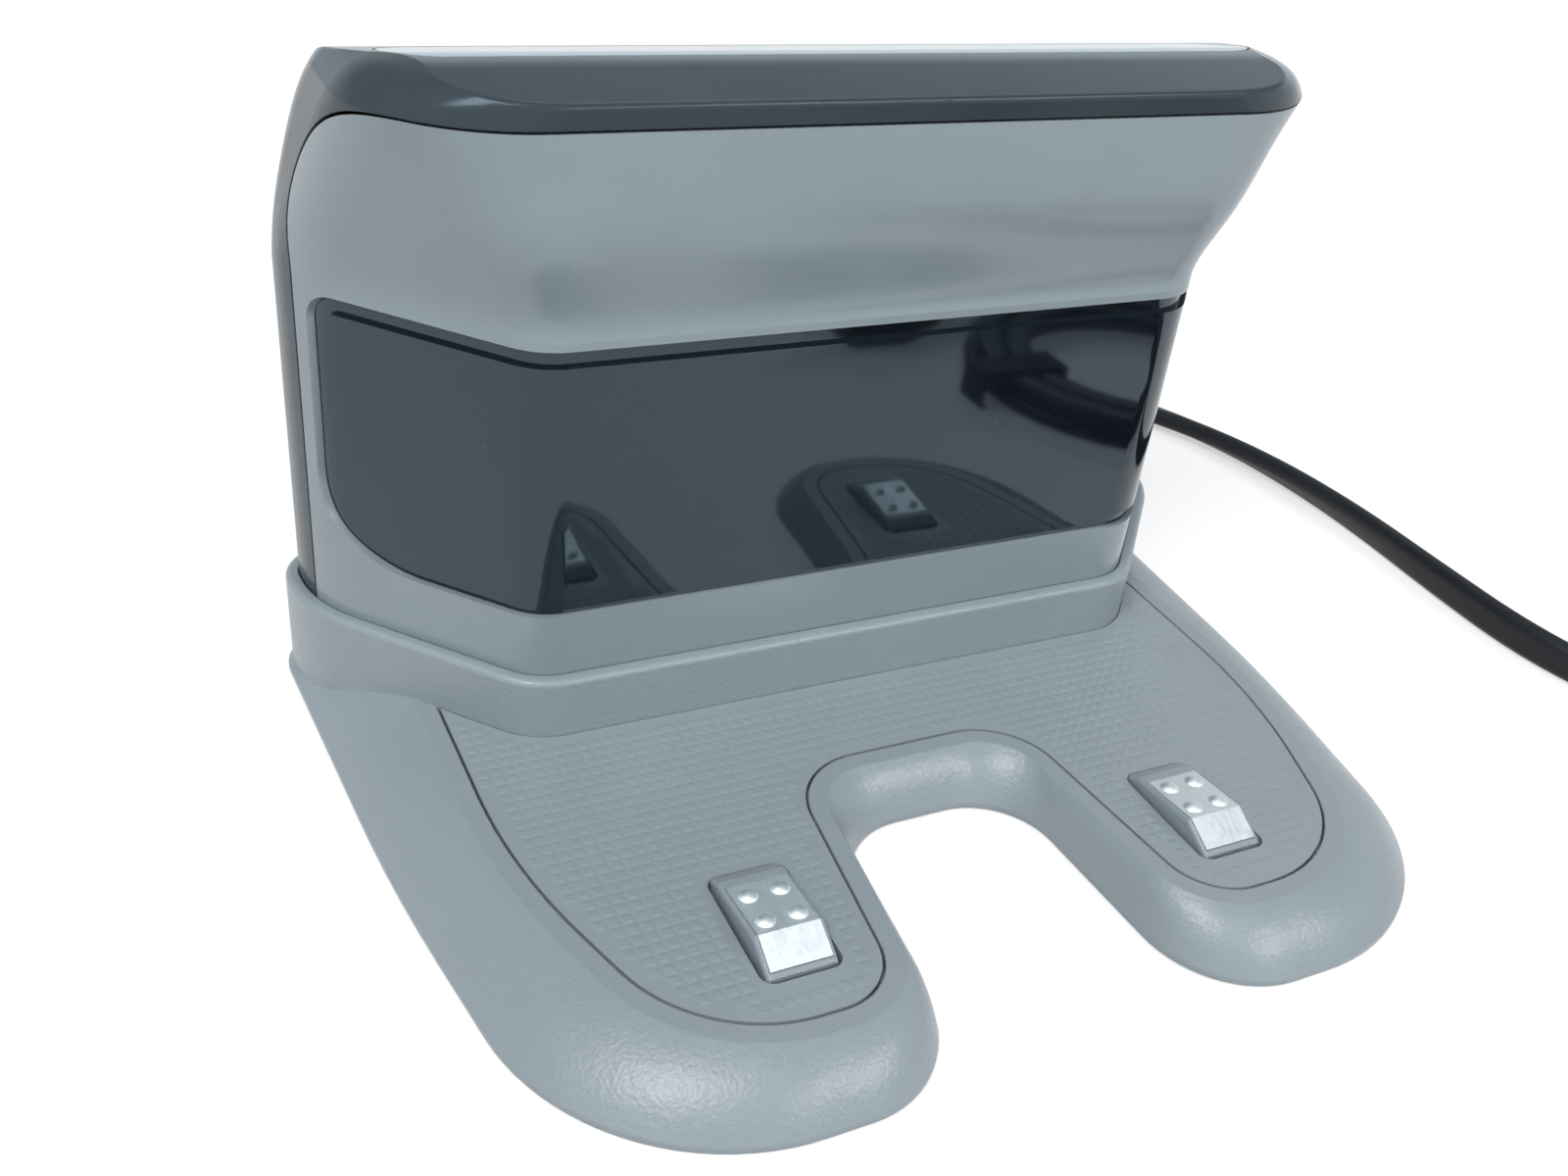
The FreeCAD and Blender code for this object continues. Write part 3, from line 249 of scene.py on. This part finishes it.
def plated_metal(name, bright, dull, along, matt):
    """Rolled or plated metal with drawn lines, a cloudy tone and worn spots."""
    material, tree, shader, place = start_finish(name)
    lines = place_group(tree, DRAWN_LINES, Place=place, Along=along)["Lines"]
    use = place_group(tree, HANDLING, Place=place, Dust_size=METAL_DUST)
    worn = ramp(tree, use["Smear"], 0.42, 0.66)
    tone = tint(tree, worn, (*bright, 1.0), (*dull, 1.0))
    tone = tint(tree, ramp(tree, lines, 0.35, 0.65, 0.0, 0.35), tone, grown_tone(dull, 0.8))
    feed(tree, tone, shader.inputs["Base Color"])
    shader.inputs["Metallic"].default_value = 1.0
    rough = math_node(tree, "ADD", ramp(tree, lines, 0.3, 0.7, matt, matt * 1.5),
                      math_node(tree, "MULTIPLY", worn, 0.1))
    feed(tree, rough, shader.inputs["Roughness"])
    emboss(tree, shader, lines, METAL_LINE_DEPTH)
    return material


def soft_rubber(name, colour, matt):
    """Black rubber or soft plastic sheath: faint talc bloom, mould grain, lint."""
    material, tree, shader, place = start_finish(name)
    grain = place_group(tree, MOULDED_GRAIN, Place=place, Fineness=RUBBER_FINENESS)
    use = place_group(tree, HANDLING, Place=place, Dust_size=RUBBER_LINT)
    bloom = ramp(tree, use["Smear"], 0.4, 0.75, 0.0, 0.6)
    tone = tint(tree, bloom, (*colour, 1.0), grown_tone(colour, 1.9))
    tone = tint(tree, use["Dust"], tone, LINT_COLOUR)
    feed(tree, tone, shader.inputs["Base Color"])
    feed(tree, ramp(tree, use["Smear"], 0.3, 0.7, matt * 0.8, matt * 1.2), shader.inputs["Roughness"])
    shader.inputs["IOR"].default_value = RUBBER_IOR
    emboss(tree, shader, grain["Height"], RUBBER_DEPTH)
    return material


GREY = (0.262, 0.310, 0.340)
COOL = (0.64, 0.85, 1.0)
finishes = {
    "tray_plastic": moulded_plastic("tray plastic", GREY, 2300.0, 0.00010, 0.32, edge=0.00035),
    "tread_plastic": moulded_plastic("tread plastic", GREY, 3600.0, 0.00002, 0.34),
    "housing_plastic": moulded_plastic("housing plastic", (0.228, 0.272, 0.300), 4200.0, 0.0000025,
                                       0.235, ior=1.72, sheen=(0.82, 0.93, 1.0)),
    "casing_plastic": moulded_plastic("casing gloss", (0.040, 0.052, 0.062), 900.0, 0.000002, 0.19,
                                      dust=0.03, ior=1.32, edge=0.0003, sheen=COOL),
    "inlay_plastic": moulded_plastic("inlay gloss", (0.31, 0.39, 0.43), 900.0, 0.000002, 0.16, ior=1.36),
    "window_plastic": moulded_plastic("window smoke", (0.005, 0.008, 0.012), 700.0, 0.000001, 0.05,
                                      dust=0.04, ior=1.66, polish=0.1, sheen=COOL),
    "black_plastic": moulded_plastic("black plastic", (0.022, 0.023, 0.025), 2400.0, 0.00005, 0.5),
    "rubber": soft_rubber("foot rubber", (0.020, 0.020, 0.021), 0.72),
    "cord_rubber": soft_rubber("cord sheath", (0.008, 0.009, 0.011), 0.40),
    "steel": plated_metal("zinc steel", (0.62, 0.63, 0.64), (0.42, 0.43, 0.44), (1.0, 1.0, 0.1), 0.26),
    "nickel": plated_metal("bright nickel", (0.88, 0.92, 0.93), (0.80, 0.84, 0.85), (1.0, 0.08, 1.0), 0.38),
    "brass": plated_metal("brass", (0.78, 0.60, 0.30), (0.55, 0.40, 0.18), (1.0, 0.1, 1.0), 0.24),
    "lead_plastic": soft_rubber("lead sheath", (0.30, 0.03, 0.02), 0.45),
    "board": moulded_plastic("board lacquer", (0.015, 0.085, 0.035), 1200.0, 0.00002, 0.35),
    "emitter": moulded_plastic("emitter resin", (0.52, 0.55, 0.62), 800.0, 0.000004, 0.12, polish=0.4),
    "winding": moulded_plastic("winding tape", (0.45, 0.30, 0.05), 1400.0, 0.00003, 0.4),
    "can": moulded_plastic("can sleeve", (0.030, 0.033, 0.055), 1500.0, 0.00001, 0.3),
    "connector": moulded_plastic("connector body", (0.62, 0.60, 0.54), 2000.0, 0.00003, 0.45),
    "ribbon": soft_rubber("ribbon", (0.40, 0.41, 0.42), 0.5),
}
finish_of = {piece["node"]: piece["material_slot"] for piece in frame["record"]["subparts"]}
for name, node in nodes.items():
    for holder in node.material_slots:
        holder.material = finishes[finish_of[name]]


# Camera at the photograph's viewing angle, solved from the symmetry of the dock
CAMERA_PLACE = (-96.6, -142.85, 135.6)
CAMERA_YAW, CAMERA_PITCH, CAMERA_ROLL = 28.563, 32.0, 6.602
CAMERA_LENS, SENSOR_WIDTH = 34.403, 36.0


def set_camera():
    yaw, pitch, roll = (math.radians(a) for a in (CAMERA_YAW, CAMERA_PITCH, CAMERA_ROLL))
    forward = Vector((math.sin(yaw) * math.cos(pitch), math.cos(yaw) * math.cos(pitch), -math.sin(pitch)))
    level = Vector((math.cos(yaw), -math.sin(yaw), 0.0))
    upright = level.cross(forward)
    right = math.cos(roll) * level + math.sin(roll) * upright
    up = -math.sin(roll) * level + math.cos(roll) * upright
    data = bpy.data.cameras.new("camera")
    data.sensor_fit = "HORIZONTAL"
    data.sensor_width = SENSOR_WIDTH
    data.lens = CAMERA_LENS
    data.clip_start = 0.01
    data.clip_end = 50.0
    camera = bpy.data.objects.new("camera", data)
    turned = Matrix((right, up, -forward)).transposed().to_4x4()
    camera.matrix_world = Matrix.Translation(Vector(CAMERA_PLACE) * MM) @ turned
    scene.collection.objects.link(camera)
    scene.camera = camera


set_camera()


# Flat two-core mains cord, on its own route and then in a tied coil; each point is x, y, z in mm and its tilt
CORD_WIDTH = 6.4
CORD_THICKNESS = 3.5
ON_EDGE, LYING = 0.0, math.radians(90)
cord_route = [
    (44, 78.5, 26, LYING), (45, 94, 24, LYING), (53, 109, 17, LYING), (69, 117, 9, LYING),
    (87, 114, 4, LYING), (102, 103, 2.4, 1.5), (113, 89, 2.3, 1.3), (120.5, 72, 2.5, 1.05),
    (124, 53, 2.8, 0.75), (124.5, 33, 3.05, 0.45), (123, 12, 3.2, 0.15),
    (122.5, -9, 3.25, ON_EDGE), (127.5, -26.5, 3.2, 0.15), (139.6, -37.8, 2.75, 0.9),
    (152.5, -47.5, 1.9, LYING),
]
COIL_CENTRE = (124.0, -79.5)
COIL_OUTER, COIL_INNER = 40.8, 27.0
COIL_LOW, COIL_HIGH = 1.9, 5.6
COIL_START, COIL_END = 20, -1530
COIL_STEP = 25
COIL_CLIMB = 80
tail_route = [(116, -120.7, 5.7, LYING), (107, -122.3, 6.5, LYING)]


def coil_turns():
    """Points of the turns: spiralling in on the floor, then out again on top of them."""
    points = []
    half = (COIL_START + COIL_END) / 2
    for angle in range(COIL_START, COIL_END - 1, -COIL_STEP):
        inward = 1 - abs(angle - half) / (COIL_START - half)
        radius = COIL_OUTER + (COIL_INNER - COIL_OUTER) * inward
        rise = min(1.0, max(0.0, (half - angle) / COIL_CLIMB + 0.5))
        turn = math.radians(angle)
        points.append((COIL_CENTRE[0] + radius * math.cos(turn), COIL_CENTRE[1] + radius * math.sin(turn),
                       COIL_LOW + (COIL_HIGH - COIL_LOW) * rise, LYING))
    return points


def make_cord():
    curve = bpy.data.curves.new("mains_cord", "CURVE")
    curve.dimensions = "3D"
    curve.twist_mode = "Z_UP"
    route = cord_route + coil_turns() + tail_route
    spline = curve.splines.new("NURBS")
    spline.points.add(len(route) - 1)
    for point, (x, y, z, tilt) in zip(spline.points, route):
        point.co = (x * MM, y * MM, z * MM, 1.0)
        point.tilt = tilt
    spline.order_u = 3
    spline.use_endpoint_u = True
    spline.resolution_u = 8
    curve.bevel_depth = CORD_THICKNESS / 2 * MM
    curve.extrude = (CORD_WIDTH - CORD_THICKNESS) / 2 * MM
    curve.bevel_resolution = 4
    curve.use_fill_caps = True
    curve.materials.append(finishes["cord_rubber"])
    cord = bpy.data.objects.new("mains_cord", curve)
    scene.collection.objects.link(cord)
    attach(cord, "dock")
    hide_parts("cord_run", "cord_coil", "cord_tail")


make_cord()


# Grip of the tread plate: rows of low flat-topped pyramids, sizes in mm
GRIP_PITCH, GRIP_FOOT, GRIP_TOP = 1.8, 1.8, 0.75
GRIP_HEIGHT, GRIP_SINK, GRIP_MARGIN = 0.11, 0.02, 1.25
PROBE_START, PROBE_LENGTH = 0.5, 1.0


def make_grip_tree():
    """Pyramids on a square grid, kept only where the plate's top carries all four corners."""
    tree = bpy.data.node_groups.new("tread grip", "GeometryNodeTree")
    kinds = (("Plate", "NodeSocketObject"), ("Columns", "NodeSocketInt"), ("Rows", "NodeSocketInt"),
             ("Pitch", VALUE), ("Foot", VALUE), ("Top", VALUE), ("Height", VALUE), ("Margin", VALUE),
             ("Centre", VECTOR), ("Finish", "NodeSocketMaterial"))
    sockets = {label: tree.interface.new_socket(label, in_out="INPUT", socket_type=kind).identifier
               for label, kind in kinds}
    tree.interface.new_socket("Geometry", in_out="OUTPUT", socket_type="NodeSocketGeometry")
    given = add(tree, "NodeGroupInput").outputs

    def number(operation, a, b):
        return math_node(tree, operation, a, b)

    grid = add(tree, "GeometryNodeMeshGrid")
    for axis, count in (("X", "Columns"), ("Y", "Rows")):
        feed(tree, given[count], grid.inputs["Vertices " + axis])
        feed(tree, number("MULTIPLY", number("SUBTRACT", given[count], 1.0), given["Pitch"]),
             grid.inputs["Size " + axis])
    laid = add(tree, "GeometryNodeTransform")
    feed(tree, grid.outputs[0], laid.inputs["Geometry"])
    feed(tree, given["Centre"], laid.inputs["Translation"])
    plate = add(tree, "GeometryNodeObjectInfo")
    feed(tree, given["Plate"], plate.inputs["Object"])
    position = add(tree, "GeometryNodeInputPosition").outputs[0]
    carried = None
    for side_x, side_y in ((-1.0, -1.0), (-1.0, 1.0), (1.0, -1.0), (1.0, 1.0)):
        offset = add(tree, "ShaderNodeCombineXYZ")
        feed(tree, number("MULTIPLY", given["Margin"], side_x), offset.inputs[0])
        feed(tree, number("MULTIPLY", given["Margin"], side_y), offset.inputs[1])
        offset.inputs[2].default_value = PROBE_START * MM
        corner = add(tree, "ShaderNodeVectorMath", operation="ADD")
        feed(tree, position, corner.inputs[0])
        feed(tree, offset.outputs[0], corner.inputs[1])
        probe = add(tree, "GeometryNodeRaycast")
        feed(tree, plate.outputs["Geometry"], probe.inputs["Target Geometry"])
        feed(tree, corner.outputs[0], probe.inputs["Source Position"])
        probe.inputs["Ray Direction"].default_value = (0.0, 0.0, -1.0)
        probe.inputs["Ray Length"].default_value = PROBE_LENGTH * MM
        hit = probe.outputs["Is Hit"]
        if carried is None:
            carried = hit
        else:
            both = add(tree, "FunctionNodeBooleanMath", operation="AND")
            feed(tree, carried, both.inputs[0])
            feed(tree, hit, both.inputs[1])
            carried = both.outputs[0]
    pyramid = add(tree, "GeometryNodeMeshCone", fill_type="NGON")
    pyramid.inputs["Vertices"].default_value = 4
    feed(tree, number("DIVIDE", given["Top"], math.sqrt(2)), pyramid.inputs["Radius Top"])
    feed(tree, number("DIVIDE", given["Foot"], math.sqrt(2)), pyramid.inputs["Radius Bottom"])
    feed(tree, given["Height"], pyramid.inputs["Depth"])
    turned = add(tree, "GeometryNodeTransform")
    feed(tree, pyramid.outputs["Mesh"], turned.inputs["Geometry"])
    turned.inputs["Rotation"].default_value = (0.0, 0.0, math.radians(45))
    placed = add(tree, "GeometryNodeInstanceOnPoints")
    feed(tree, laid.outputs[0], placed.inputs["Points"])
    feed(tree, carried, placed.inputs["Selection"])
    feed(tree, turned.outputs[0], placed.inputs["Instance"])
    real = add(tree, "GeometryNodeRealizeInstances")
    feed(tree, placed.outputs[0], real.inputs[0])
    painted = add(tree, "GeometryNodeSetMaterial")
    feed(tree, real.outputs[0], painted.inputs["Geometry"])
    feed(tree, given["Finish"], painted.inputs["Material"])
    feed(tree, painted.outputs[0], add(tree, "NodeGroupOutput").inputs[0])
    return tree, sockets


def run_tree(name, tree, values):
    """The plain mesh that a tree makes with these values, as an object at the origin."""
    holder = bpy.data.objects.new(name, bpy.data.meshes.new(name + " start"))
    scene.collection.objects.link(holder)
    maker = holder.modifiers.new("maker", "NODES")
    maker.node_group = tree
    for identifier, value in values.items():
        maker[identifier] = value
    seen = holder.evaluated_get(bpy.context.evaluated_depsgraph_get())
    holder.data = bpy.data.meshes.new_from_object(seen)
    holder.data.name = name
    holder.modifiers.remove(maker)
    return holder


def make_grip():
    tree, sockets = make_grip_tree()
    low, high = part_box("tread_plate")
    values = {
        "Plate": nodes["tread_plate"],
        "Columns": int((high.x - low.x) / MM / GRIP_PITCH),
        "Rows": int((high.y - low.y) / MM / GRIP_PITCH),
        "Pitch": GRIP_PITCH * MM,
        "Foot": GRIP_FOOT * MM,
        "Top": GRIP_TOP * MM,
        "Height": GRIP_HEIGHT * MM,
        "Margin": GRIP_MARGIN * MM,
        "Centre": ((low.x + high.x) / 2, (low.y + high.y) / 2, high.z - GRIP_SINK * MM),
        "Finish": finishes["tread_plastic"],
    }
    grip = run_tree("tread_grip", tree, {sockets[name]: value for name, value in values.items()})
    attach(grip, "dock")


make_grip()


# Floor and light, in metres and watts
FLOOR_REACH = 6.0
FLOOR_TONE = (0.55, 0.56, 0.57, 1.0)
GLOW_NEAR, GLOW_FAR = 0.56, 0.95
GLOW_STARTS, GLOW_FULL = 0.3, 1.6
FRONT_LEFT = (-0.6, -0.8, 0.0)
HORIZON_LOW, HORIZON_HIGH = 0.26, 0.50
ROOM_DIM, ROOM_BRIGHT = 0.30, 0.95
FRONT_SHARE, LEAST_LIGHT = 0.35, 0.20
WHITE, ROOM_COLOUR = (1.0, 1.0, 1.0, 1.0), (0.82, 0.93, 1.0, 1.0)
LAMPS = (
    ("key lamp", (-0.52, -0.42, 0.98), (0.0, 0.0, 0.03), (0.6, 0.45), 9.8),
    ("front strip", (0.42, -0.76, 0.56), (0.0, -0.02, 0.03), (0.6, 0.12), 4.0),
    ("rear lamp", (0.45, 0.6, 0.9), (0.0, 0.0, 0.05), (0.7, 0.5), 1.2),
)


def make_floor():
    """White table that glows towards the camera and mirrors, so that it stays white in the picture."""
    mesh = bpy.data.meshes.new("floor")
    corners = [(x * FLOOR_REACH, y * FLOOR_REACH, 0.0) for x, y in ((-1, -1), (1, -1), (1, 1), (-1, 1))]
    mesh.from_pydata(corners, [], [(0, 1, 2, 3)])
    floor = bpy.data.objects.new("floor", mesh)
    scene.collection.objects.link(floor)
    material, tree, shader, place = start_finish("white table")
    shader.inputs["Base Color"].default_value = FLOOR_TONE
    shader.inputs["Roughness"].default_value = 0.9
    shader.inputs["Specular IOR Level"].default_value = 0.1
    shader.inputs["Emission Color"].default_value = WHITE
    ray = add(tree, "ShaderNodeLightPath").outputs
    seen = math_node(tree, "MAXIMUM", ray["Is Glossy Ray"], ray["Is Transmission Ray"])
    seen = math_node(tree, "MAXIMUM", seen, ray["Is Camera Ray"])
    away = add(tree, "ShaderNodeVectorMath", operation="LENGTH")
    feed(tree, place, away.inputs[0])
    glow = ramp(tree, away.outputs["Value"], GLOW_STARTS, GLOW_FULL, GLOW_NEAR, GLOW_FAR)
    feed(tree, math_node(tree, "MULTIPLY", seen, glow), shader.inputs["Emission Strength"])
    mesh.materials.append(material)


def set_world():
    """White surround up to a low horizon, open towards the front, and a dim cool room above it."""
    world = bpy.data.worlds.new("studio")
    scene.world = world
    world.use_nodes = True
    tree = world.node_tree
    sky = tree.nodes["Background"]
    ray = add(tree, "ShaderNodeLightPath").outputs
    direction = add(tree, "ShaderNodeTexCoord").outputs["Generated"]
    axes = add(tree, "ShaderNodeSeparateXYZ")
    feed(tree, direction, axes.inputs[0])
    frontal = add(tree, "ShaderNodeVectorMath", operation="DOT_PRODUCT")
    feed(tree, direction, frontal.inputs[0])
    frontal.inputs[1].default_value = FRONT_LEFT
    room = ramp(tree, frontal.outputs["Value"], -0.5, 0.6, ROOM_DIM, ROOM_BRIGHT)
    surround = ramp(tree, axes.outputs["Z"], HORIZON_LOW, HORIZON_HIGH, 1.0, 0.0)
    open_front = ramp(tree, axes.outputs["Y"], -0.7, -0.2, FRONT_SHARE, 1.0)
    lighting = math_node(tree, "MULTIPLY", surround, open_front)
    lighting = math_node(tree, "MAXIMUM", lighting, LEAST_LIGHT)
    mirrored = math_node(tree, "MAXIMUM", ray["Is Glossy Ray"], ray["Is Transmission Ray"])
    level = add(tree, "ShaderNodeMix", data_type="FLOAT")
    feed(tree, mirrored, level.inputs[0])
    feed(tree, lighting, level.inputs[2])
    feed(tree, math_node(tree, "MAXIMUM", room, surround), level.inputs[3])
    feed(tree, math_node(tree, "MAXIMUM", level.outputs[0], ray["Is Camera Ray"]), sky.inputs["Strength"])
    feed(tree, tint(tree, mirrored, WHITE, ROOM_COLOUR), sky.inputs["Color"])


def soft_lamp(name, place, target, size, watts):
    """Rectangular lamp that faces its target."""
    data = bpy.data.lights.new(name, "AREA")
    data.shape = "RECTANGLE"
    data.size, data.size_y = size
    data.energy = watts
    lamp = bpy.data.objects.new(name, data)
    place, target = Vector(place), Vector(target)
    turned = (target - place).to_track_quat("-Z", "Y").to_matrix().to_4x4()
    lamp.matrix_world = Matrix.Translation(place) @ turned
    scene.collection.objects.link(lamp)


make_floor()
set_world()
for lamp in LAMPS:
    soft_lamp(*lamp)
scene.view_settings.view_transform = "Standard"
